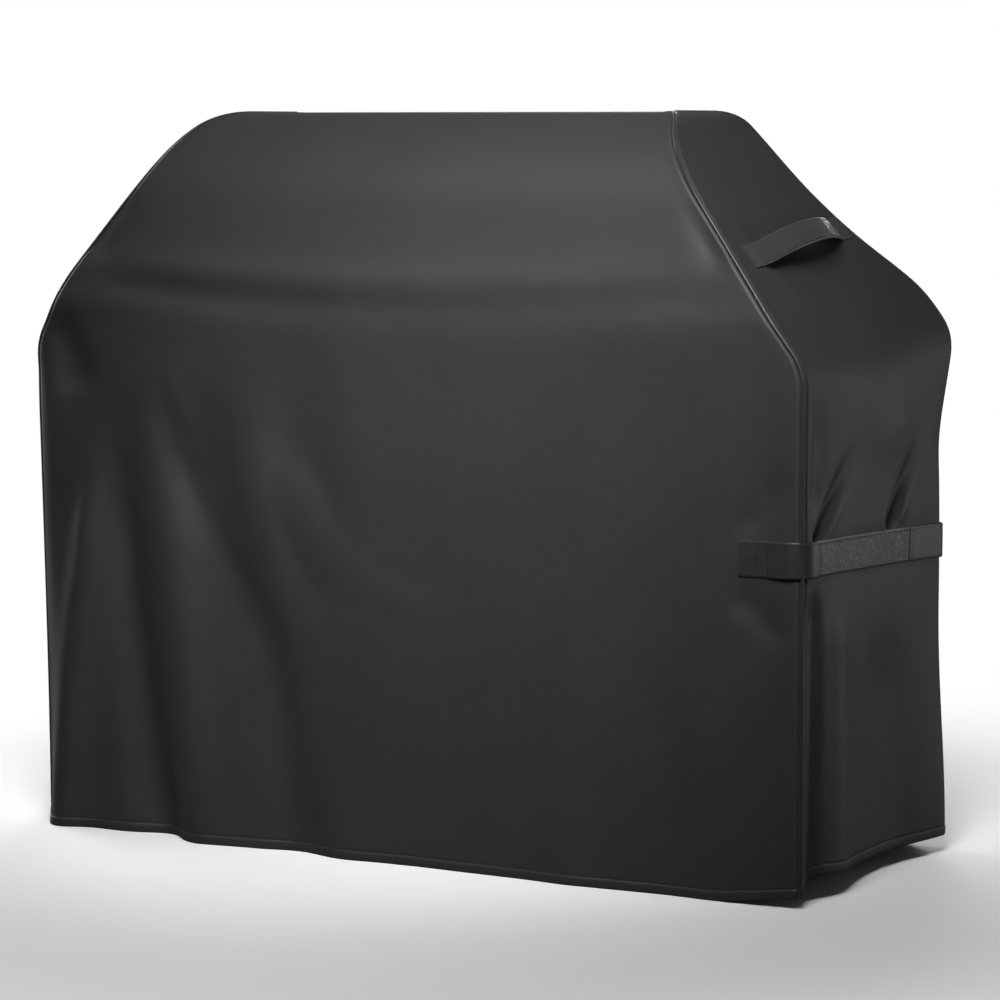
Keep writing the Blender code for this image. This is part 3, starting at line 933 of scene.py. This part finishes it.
slopeRun = unit(np.array((cover["ridgeHalf"] - cover["halfLength"],
                          cover["height"] - cover["shoulder"])))
slopeNormal = (slopeRun[1], -slopeRun[0])
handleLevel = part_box("right_handle_front_end")[0].z + handles["width"] / 2 * slopeRun[1]


def bandPiece(name, path, widthways, outward, width, thickness, crown=0.0):
    section = bandSection(path, widthways, outward, width, thickness, crown)
    obj = sweptTube(name, path, section)
    smooth(obj, 50)
    return obj


def edgeRows(path, widthways, outward, offset, lift):
    return [(path + widthways * offset * s + outward * lift, outward) for s in (-1, 1)]


def boxRow(path, widthways, outward, half, lift):
    # stitching round a rectangle on the band, with its two diagonals
    ring = np.concatenate([path + widthways * half, path[-1:] - widthways[-1:] * half,
                           (path - widthways * half)[::-1], path[:1] + widthways[:1] * half])
    up = np.concatenate([outward, outward[-1:], outward[::-1], outward[:1]])
    rows = [(ring + up * lift, up)]
    share = np.linspace(-1, 1, len(path))[:, None]
    for s in (-1, 1):
        rows.append((path + widthways * half * share * s + outward * lift, outward))
    return rows


def makeHandle(side, prefix):
    h = handles
    span = h["archBack"] - h["archFront"]
    loopFront = h["archFront"] + span * h["freeFrom"]
    loopBack = h["archBack"] - span * h["freeFrom"]
    stretches = {
        "FrontEnd": np.linspace(h["front"], loopFront, 44),
        "Loop": np.linspace(loopFront, loopBack, 70),
        "RearEnd": np.linspace(loopBack, h["rear"], 48),
    }
    whole = np.unique(np.concatenate(list(stretches.values())))
    path, widthways, outward = handlePath(side, whole)
    made = {}
    for part, places in stretches.items():
        own = np.searchsorted(whole, places)
        p, w, o = path[own], widthways[own], outward[own]
        band = bandPiece(f"{prefix}Handle{part}", p, w, o, h["width"], h["thickness"], h["crown"])
        rows = edgeRows(p, w, o, h["width"] / 2 - h["stitchInset"], h["thickness"] + h["stitchLift"])
        flat = (places < h["archFront"]) if part == "FrontEnd" else (places > h["archBack"])
        if part != "Loop":
            inner = np.flatnonzero(flat)[2:-2]
            rows += boxRow(p[inner], w[inner], o[inner], h["width"] / 2 - h["boxInset"],
                           h["thickness"] + h["boxLift"])
        thread = stitched(f"{prefix}Handle{part}Stitches", rows)
        free = np.flatnonzero(~flat)
        made[part] = (band, thread, p[free[0]], p[free[-1]])
    return made


def layHandle(side, prefix):
    made = makeHandle(side, prefix)
    body = prefix + "_handle"
    for part, cadName in (("FrontEnd", "_front_end"), ("Loop", "_loop"), ("RearEnd", "_rear_end")):
        band, thread, first, last = made[part]
        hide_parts(body + cadName)
        for obj in (band, thread):
            if part == "Loop":
                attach(obj, body)
            else:
                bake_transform(obj)


def makePatch(side, name, cadName):
    # the square of tape inside the cover that takes the handle's stitching
    low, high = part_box(cadName)
    places = np.linspace(low.y, high.y, 20)
    surface, outward = onEnd(side, places, np.full(20, (low.z + high.z) / 2))
    path = surface - outward * (cover["cloth"] + 0.0005)
    along = unit(np.gradient(path, axis=0))
    widthways = unit(np.cross(along, -outward))
    width = handles["width"] + 2 * handles["patchMargin"]
    obj = bandPiece(name, path, widthways, -outward, width, handles["patchThickness"])
    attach(obj, "root")
    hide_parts(cadName)
    return obj


def strapRoute(side):
    # the line of the strap round the end, on the cloth: points, outward directions, and for each
    # one the panel it is on (-1 front, 0 end, 1 back) and its place across that panel
    s = straps
    half, deep = cover["halfLength"], cover["halfDepth"]
    x = np.linspace(s["anchorStart"], half, 60)
    y = np.linspace(-deep, deep, 300)[1:-1]
    drop = s["slope"] * y / deep
    front, frontOut = onFace(-1, x * side, np.full(60, s["level"] + s["slope"]))
    middle, middleOut = onEnd(side, y, s["level"] - drop)
    back, backOut = onFace(1, x[::-1] * side, np.full(60, s["level"] - s["slope"]))
    out = np.concatenate([frontOut, middleOut, backOut])
    out[:, 2] = 0
    panel = np.repeat([-1, 0, 1], [60, len(y), 60])
    return np.concatenate([front, middle, back]), unit(out), panel, np.concatenate([x, y, x[::-1]])


def taut(line, out, gap):
    # the band bridges small hollows: its plan is a smoothed curve that stays outside the cloth
    smoothed = line.copy()
    kernel = np.hanning(31)
    kernel /= kernel.sum()
    for _ in range(2):
        padded = np.pad(smoothed, ((15, 15), (0, 0)), mode="edge")
        smoothed = np.stack([np.convolve(padded[:, k], kernel, "valid") for k in range(3)], 1)
    short = np.maximum(((line - smoothed) * out).sum(-1), 0)
    lift = np.maximum.reduce([np.roll(short, k) for k in range(-8, 9)])
    lift = np.convolve(np.pad(lift, 8, mode="edge"), np.ones(17) / 17, "valid")
    return smoothed + out * (lift + gap)[:, None]


def strapStretches(side, panel, place):
    # which part of the route each piece of the strap takes, and how far it stands off the cloth
    s = straps
    front, end, back = panel < 0, panel == 0, panel > 0
    strip = end & (place > s["stripStart"][side]) & (place < s["stripEnd"] + 0.004)
    wrapped = back & (place > cover["halfLength"] - s["rearWrap"])
    rear = (end & (place > s["stripEnd"] - 0.010)) | wrapped
    if side > 0:
        anchor = front & (place < s["hinge"] - 0.002)
        tab = (front & (place > s["hinge"] - 0.001)) | (end & (place < s["tabEnd"][side]))
    else:
        anchor = end & (place > s["endAnchor"]) & (place < s["endHinge"] - 0.002)
        tab = end & (place > s["endHinge"] - 0.001) & (place < s["tabEnd"][side])
    return {"FrontAnchor": ("front_anchor", anchor, 0.0), "HookTab": ("hook_tab", tab, s["tabGap"]),
            "LoopStrip": ("loop_strip", strip, 0.0), "RearAnchor": ("rear_anchor", rear, s["rearGap"])}


def barTack(path, widthways, outward, place, half, lift):
    # stitching straight across the band
    across = np.array([[-half], [0], [half]])
    out = outward[[place] * 3]
    return path[[place] * 3] + widthways[[place] * 3] * across + out * lift, out


def bendTab(piece):
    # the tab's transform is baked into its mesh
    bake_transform(piece)


def makeStrap(side, prefix):
    s = straps
    line, out, panel, place = strapRoute(side)
    base = taut(line, out, s["gap"])
    for part, (cadName, own, extra) in strapStretches(side, panel, place).items():
        path, outward = base[own] + out[own] * extra, out[own]
        along = unit(np.gradient(path, axis=0))
        widthways = unit(np.cross(along, outward))
        outward = unit(np.cross(widthways, along))
        obj = bandPiece(f"{prefix}Strap{part}", path, widthways, outward, s["width"], s["thickness"],
                        s["crown"])
        inset = s["width"] / 2 - s["stitchInset"]
        lift = s["thickness"] + s["stitchLift"]
        rows = edgeRows(path, widthways, outward, inset, lift)
        tacks = {"FrontAnchor": (3, -8), "RearAnchor": (3, 8)}.get(part, ())
        rows += [barTack(path, widthways, outward, tack, inset, lift) for tack in tacks]
        thread = stitched(f"{prefix}Strap{part}Stitches", rows)
        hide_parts(f"{prefix}_strap_{cadName}")
        for piece in (obj, thread):
            if part == "HookTab":
                bendTab(piece)
            else:
                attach(piece, "root")


for side, prefix in prefixes.items():
    layHandle(side, prefix)
    for place in ("front", "rear"):
        makePatch(side, f"{prefix}Handle{place.title()}Patch", f"{prefix}_handle_{place}_patch")
    makeStrap(side, prefix)
print("handles and straps made")


# Finishes

finishes = {
    # colour, roughness, sheen and the sizes of what shows in the surface, in metres
    "cloth": {"dark": (0.0165, 0.0165, 0.0175), "light": (0.0215, 0.0215, 0.0228),
              "rough": (0.52, 0.58), "weave": 0.0011, "weaveDepth": 0.10, "sheen": 0.02},
    "piping": {"dark": (0.0135, 0.0135, 0.0145), "light": (0.0230, 0.0230, 0.0245),
               "rough": (0.30, 0.42), "weave": 0.0009, "weaveDepth": 0.12, "sheen": 0.06},
    "webbing": {"dark": (0.0100, 0.0100, 0.0108), "light": (0.0230, 0.0230, 0.0245),
                "rough": (0.36, 0.50), "weave": 0.0017, "weaveDepth": 0.35, "sheen": 0.05},
    # a lighter copy of the webbing for the handles: its extra lightness is a painted highlight
    "handle": {"dark": (0.0180, 0.0180, 0.0190), "light": (0.0420, 0.0420, 0.0440),
               "rough": (0.32, 0.44), "weave": 0.0017, "weaveDepth": 0.35, "sheen": 0.05},
    # the pile's light colour is painted glints of the fibres, bright specks in a dark pile
    "pile": {"dark": (0.0110, 0.0110, 0.0118), "light": (0.1150, 0.1150, 0.1180),
             "rough": (0.75, 0.95), "weave": 0.0014, "weaveDepth": 0.60, "sheen": 0.30, "clump": 0.0042},
    "tape": {"dark": (0.0100, 0.0100, 0.0108), "light": (0.0170, 0.0170, 0.0180),
             "rough": (0.60, 0.75), "weave": 0.0008, "weaveDepth": 0.20, "sheen": 0.15},
    "thread": {"dark": (0.0180, 0.0180, 0.0190), "light": (0.0300, 0.0300, 0.0315),
               "rough": (0.45, 0.60), "weave": 0.0006, "weaveDepth": 0.30, "sheen": 0.10},
}


def newFinish(name):
    made = bpy.data.materials.new(name)
    made.use_nodes = True
    tree = made.node_tree
    shader = tree.nodes["Principled BSDF"]
    return made, tree, shader


def node(tree, kind, inputs=None, **settings):
    made = tree.nodes.new(kind)
    for setting, value in settings.items():
        setattr(made, setting, value)
    for socket, value in (inputs or {}).items():
        if isinstance(value, bpy.types.NodeSocket):
            tree.links.new(value, made.inputs[socket])
        else:
            made.inputs[socket].default_value = value
    return made


def ramp(tree, value, stops):
    made = node(tree, "ShaderNodeValToRGB", {"Fac": value})
    elements = made.color_ramp.elements
    elements[0].position, elements[0].color = stops[0][0], (*stops[0][1], 1)
    elements[1].position, elements[1].color = stops[-1][0], (*stops[-1][1], 1)
    for place, colour in stops[1:-1]:
        elements.new(place).color = (*colour, 1)
    return made.outputs["Color"]


def spreadValue(tree, value, low, high, toLow, toHigh):
    made = node(tree, "ShaderNodeMapRange", {"Value": value, "From Min": low, "From Max": high,
                                             "To Min": toLow, "To Max": toHigh})
    return made.outputs["Result"]


def maths(tree, operation, first, second=0.0):
    return node(tree, "ShaderNodeMath", {0: first, 1: second}, operation=operation).outputs[0]


def blended(tree, *parts):
    # the sum of several values, each with its weight
    scaled = [maths(tree, "MULTIPLY", value, weight) for value, weight in parts]
    total = scaled[0]
    for value in scaled[1:]:
        total = maths(tree, "ADD", total, value)
    return total


def noise(tree, place, size, detail=3.0, roughness=0.55):
    made = node(tree, "ShaderNodeTexNoise", {"Vector": place, "Scale": 1 / size, "Detail": detail,
                                             "Roughness": roughness})
    return made.outputs["Fac"]


def weave(tree, place, pitch, ratio=1.0):
    # warp and weft threads that pass over each other in turn
    axes = node(tree, "ShaderNodeSeparateXYZ", {"Vector": place})
    turn = []
    for axis, size in (("X", pitch), ("Y", pitch * ratio)):
        turn.append(maths(tree, "MULTIPLY", axes.outputs[axis], math.pi / size))
    warp = maths(tree, "ABSOLUTE", maths(tree, "SINE", turn[0]))
    weft = maths(tree, "ABSOLUTE", maths(tree, "SINE", turn[1]))
    shift = maths(tree, "MULTIPLY", maths(tree, "SINE", turn[0]), maths(tree, "SINE", turn[1]))
    above = spreadValue(tree, shift, -0.25, 0.25, 0.0, 1.0)
    below = maths(tree, "SUBTRACT", 1.0, above)
    return blended(tree, (warp, above), (weft, below))


def clothFinish(name, s, onUv=True, ratio=1.0, streaks=True):
    made, tree, shader = newFinish(name)
    place = node(tree, "ShaderNodeTexCoord").outputs["Object"]
    threads = node(tree, "ShaderNodeUVMap", uv_map="cloth").outputs["UV"] if onUv else place
    broad = noise(tree, place, 0.22, 2.0)
    mottled = noise(tree, place, 0.018, 5.0, 0.65)
    fine = noise(tree, place, 0.0030, 4.0, 0.6)
    yarn = weave(tree, threads, s["weave"], ratio)
    shade = blended(tree, (broad, 0.35), (mottled, 0.40), (yarn, 0.25))
    colour = ramp(tree, shade, [(0.25, s["dark"]), (0.75, s["light"])])
    tree.links.new(colour, shader.inputs["Base Color"])
    rough = blended(tree, (mottled, 0.5), (broad, 0.5))
    tree.links.new(spreadValue(tree, rough, 0.35, 0.65, *s["rough"]), shader.inputs["Roughness"])
    surface = [(yarn, s["weaveDepth"]), (fine, 0.25)]
    if streaks:
        # the cloth's own slight unevenness along both threads
        drawn = [node(tree, "ShaderNodeMapping", {"Vector": threads, "Scale": scale}).outputs["Vector"]
                 for scale in ((0.06, 1.0, 1.0), (1.0, 0.06, 1.0))]
        uneven = maths(tree, "ADD", *[noise(tree, run, 0.0016, 2.0) for run in drawn])
        surface.append((uneven, 0.35))
    height = blended(tree, *surface)
    bumpy = node(tree, "ShaderNodeBump", {"Height": height, "Strength": 0.35, "Distance": 0.0005})
    tree.links.new(bumpy.outputs["Normal"], shader.inputs["Normal"])
    shader.inputs["Sheen Weight"].default_value = s["sheen"]
    shader.inputs["Sheen Roughness"].default_value = 0.5
    shader.inputs["Specular IOR Level"].default_value = 0.35
    return made


def pileFinish(name, s):
    # the looped half of the fastening: dense curled fibres whose tone varies, with bright specks that
    # are painted glints of the fibres
    made, tree, shader = newFinish(name)
    place = node(tree, "ShaderNodeTexCoord").outputs["Object"]
    curls = node(tree, "ShaderNodeTexVoronoi", {"Vector": place, "Scale": 1 / s["weave"]}, feature="F1")
    fibres = noise(tree, place, 0.0022, 6.0, 0.75)
    clumps = noise(tree, place, s["clump"], 1.5, 0.5)
    glintPatches = noise(tree, place, 0.030, 3.0)
    shade = maths(tree, "MULTIPLY", maths(tree, "SUBTRACT", 1.0, curls.outputs["Distance"]), fibres)
    shade = blended(tree, (shade, 0.35), (clumps, 0.75), (glintPatches, 0.10))
    # the light stop paints the fibres' glints into the colour as bright specks; the glint patches noise
    # spreads them in broad patches
    colour = ramp(tree, shade, [(0.44, s["dark"]), (0.54, (0.030, 0.030, 0.0315)), (0.66, s["light"])])
    tree.links.new(colour, shader.inputs["Base Color"])
    tree.links.new(spreadValue(tree, fibres, 0.3, 0.7, *s["rough"]), shader.inputs["Roughness"])
    bumpy = node(tree, "ShaderNodeBump", {"Height": shade, "Strength": 0.9, "Distance": 0.0012})
    tree.links.new(bumpy.outputs["Normal"], shader.inputs["Normal"])
    shader.inputs["Sheen Weight"].default_value = s["sheen"]
    shader.inputs["Sheen Roughness"].default_value = 0.4
    return made


made = {
    "cloth": clothFinish("coatedCloth", finishes["cloth"]),
    "piping": clothFinish("pipingCloth", finishes["piping"], streaks=False),
    "webbing": clothFinish("webbing", finishes["webbing"], ratio=1.6, streaks=False),
    # the handles' webbing is made lighter to paint in their highlight
    "handle": clothFinish("handleWebbingPaintedHighlight", finishes["handle"], ratio=1.6, streaks=False),
    "tape": clothFinish("bindingTape", finishes["tape"], streaks=False),
    "pile": pileFinish("loopPile", finishes["pile"]),
    "thread": clothFinish("thread", finishes["thread"], onUv=False, streaks=False),
}


def finishOf(name):
    if "Stitches" in name:
        return "thread"
    if "LoopStrip" in name:
        return "pile"
    # handles take the lighter webbing copy, whose lightness is a painted highlight
    if "Handle" in name and "Patch" not in name:
        return "handle"
    if "Strap" in name:
        return "webbing"
    if "Binding" in name or "Patch" in name:
        return "tape"
    return "piping" if "Piping" in name else "cloth"


for obj in bpy.context.scene.objects:
    if obj.type == "MESH" and "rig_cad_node" not in obj:
        obj.data.materials.clear()
        obj.data.materials.append(made[finishOf(obj.name)])


# What the cloth was cut to

for part in ("body", -1, 1):
    panel = panels[part]
    obj = panel["object"]
    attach(obj, "root")
    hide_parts({"body": "body_panel", -1: "left_end_panel", 1: "right_end_panel"}[part])


# Floor, lights and camera

studio = {
    "floor": ((0.84, 0.84, 0.85), (0.88, 0.88, 0.89)),
    "floorBounce": 0.16,        # how pale the floor is to the light that it throws back
    "floorEdge": (0.75, 2.0),   # where the floor begins to fade, and where it ends
    "backdrop": 1.0,
    "ambient": 0.05,
    "keySpread": 54,            # the key light falls off towards the left and the hem
    "lights": [
        # name, place, size, power, aimed at
        ("key", (0.78, -1.66, 2.22), 1.4, 16.5, (0.10, -0.25, 0.86)),
        ("side", (3.4, 3.8, 0.6), 2.2, 22, (0.7, 0.0, 0.4)),
        ("top", (-0.2, 0.8, 3.8), 2.0, 5, (0.0, 0.0, 1.0)),
        ("left", (-3.8, 1.1, 1.7), 2.4, 100, (-0.7, 0.0, 0.6)),
        ("back", (-1.6, 4.2, 0.9), 2.4, 190, (0.0, 0.3, 0.6)),
    ],
}

shot = {
    "azimuth": 29.15,
    "pitch": 5.82,
    "distance": 6.1346,
    "lens": 131.39,
    "target": (0.0382, 0.0, 0.5708),
}


def aimed(obj, place, target):
    obj.location = place
    obj.rotation_euler = (Vector(target) - Vector(place)).to_track_quat("-Z", "Y").to_euler()
    bpy.context.scene.collection.objects.link(obj)


def makeFloor():
    # a pale floor that fades into the backdrop away from the cover
    bpy.ops.object.select_all(action="DESELECT")
    bpy.ops.mesh.primitive_circle_add(vertices=96, radius=studio["floorEdge"][1], fill_type="NGON",
                                      location=(0, 0, -0.0005))
    floor = bpy.context.object
    floor.name = "floor"
    floorFinish, tree, shader = newFinish("paleFloor")
    place = node(tree, "ShaderNodeTexCoord").outputs["Object"]
    dull, bright = studio["floor"]
    tone = ramp(tree, noise(tree, place, 1.5, 2.0), [(0.3, dull), (0.7, bright)])
    seen = node(tree, "ShaderNodeLightPath").outputs["Is Camera Ray"]
    bounce = (*[studio["floorBounce"]] * 3, 1)
    dimmed = node(tree, "ShaderNodeMix", {0: seen, 6: bounce, 7: tone}, data_type="RGBA")
    tree.links.new(dimmed.outputs[2], shader.inputs["Base Color"])
    shader.inputs["Roughness"].default_value = 0.9
    away = node(tree, "ShaderNodeVectorMath", {0: place}, operation="LENGTH").outputs["Value"]
    fade = spreadValue(tree, away, *studio["floorEdge"], 0.0, 1.0)
    clear = node(tree, "ShaderNodeBsdfTransparent")
    mixed = node(tree, "ShaderNodeMixShader", {0: fade, 1: shader.outputs[0], 2: clear.outputs[0]})
    tree.links.new(mixed.outputs[0], tree.nodes["Material Output"].inputs["Surface"])
    floor.data.materials.append(floorFinish)


def lightStudio():
    for name, place, size, power, target in studio["lights"]:
        lamp = bpy.data.lights.new(name, "AREA")
        lamp.shape = "DISK"
        lamp.size = size
        lamp.energy = power
        lamp.spread = math.radians(studio["keySpread"] if name == "key" else 180)
        aimed(bpy.data.objects.new(name, lamp), place, target)
    world = bpy.data.worlds.new("studio")
    bpy.context.scene.world = world
    world.use_nodes = True
    tree = world.node_tree
    backdrop = tree.nodes["Background"]
    backdrop.inputs["Color"].default_value = (1.0, 1.0, 1.0, 1)
    seen = node(tree, "ShaderNodeLightPath").outputs["Is Camera Ray"]
    strength = spreadValue(tree, seen, 0, 1, studio["ambient"], studio["backdrop"])
    tree.links.new(strength, backdrop.inputs["Strength"])


def placeCamera(s):
    lens = bpy.data.cameras.new("camera")
    lens.lens = s["lens"]
    lens.sensor_width = 36
    turn, tilt = math.radians(s["azimuth"]), math.radians(s["pitch"])
    away = Vector((math.sin(turn) * math.cos(tilt), -math.cos(turn) * math.cos(tilt), math.sin(tilt)))
    camera = bpy.data.objects.new("camera", lens)
    aimed(camera, Vector(s["target"]) + away * s["distance"], s["target"])
    bpy.context.scene.camera = camera


bpy.context.scene.view_settings.view_transform = "Standard"
makeFloor()
lightStudio()
placeCamera(shot)
print("studio set")
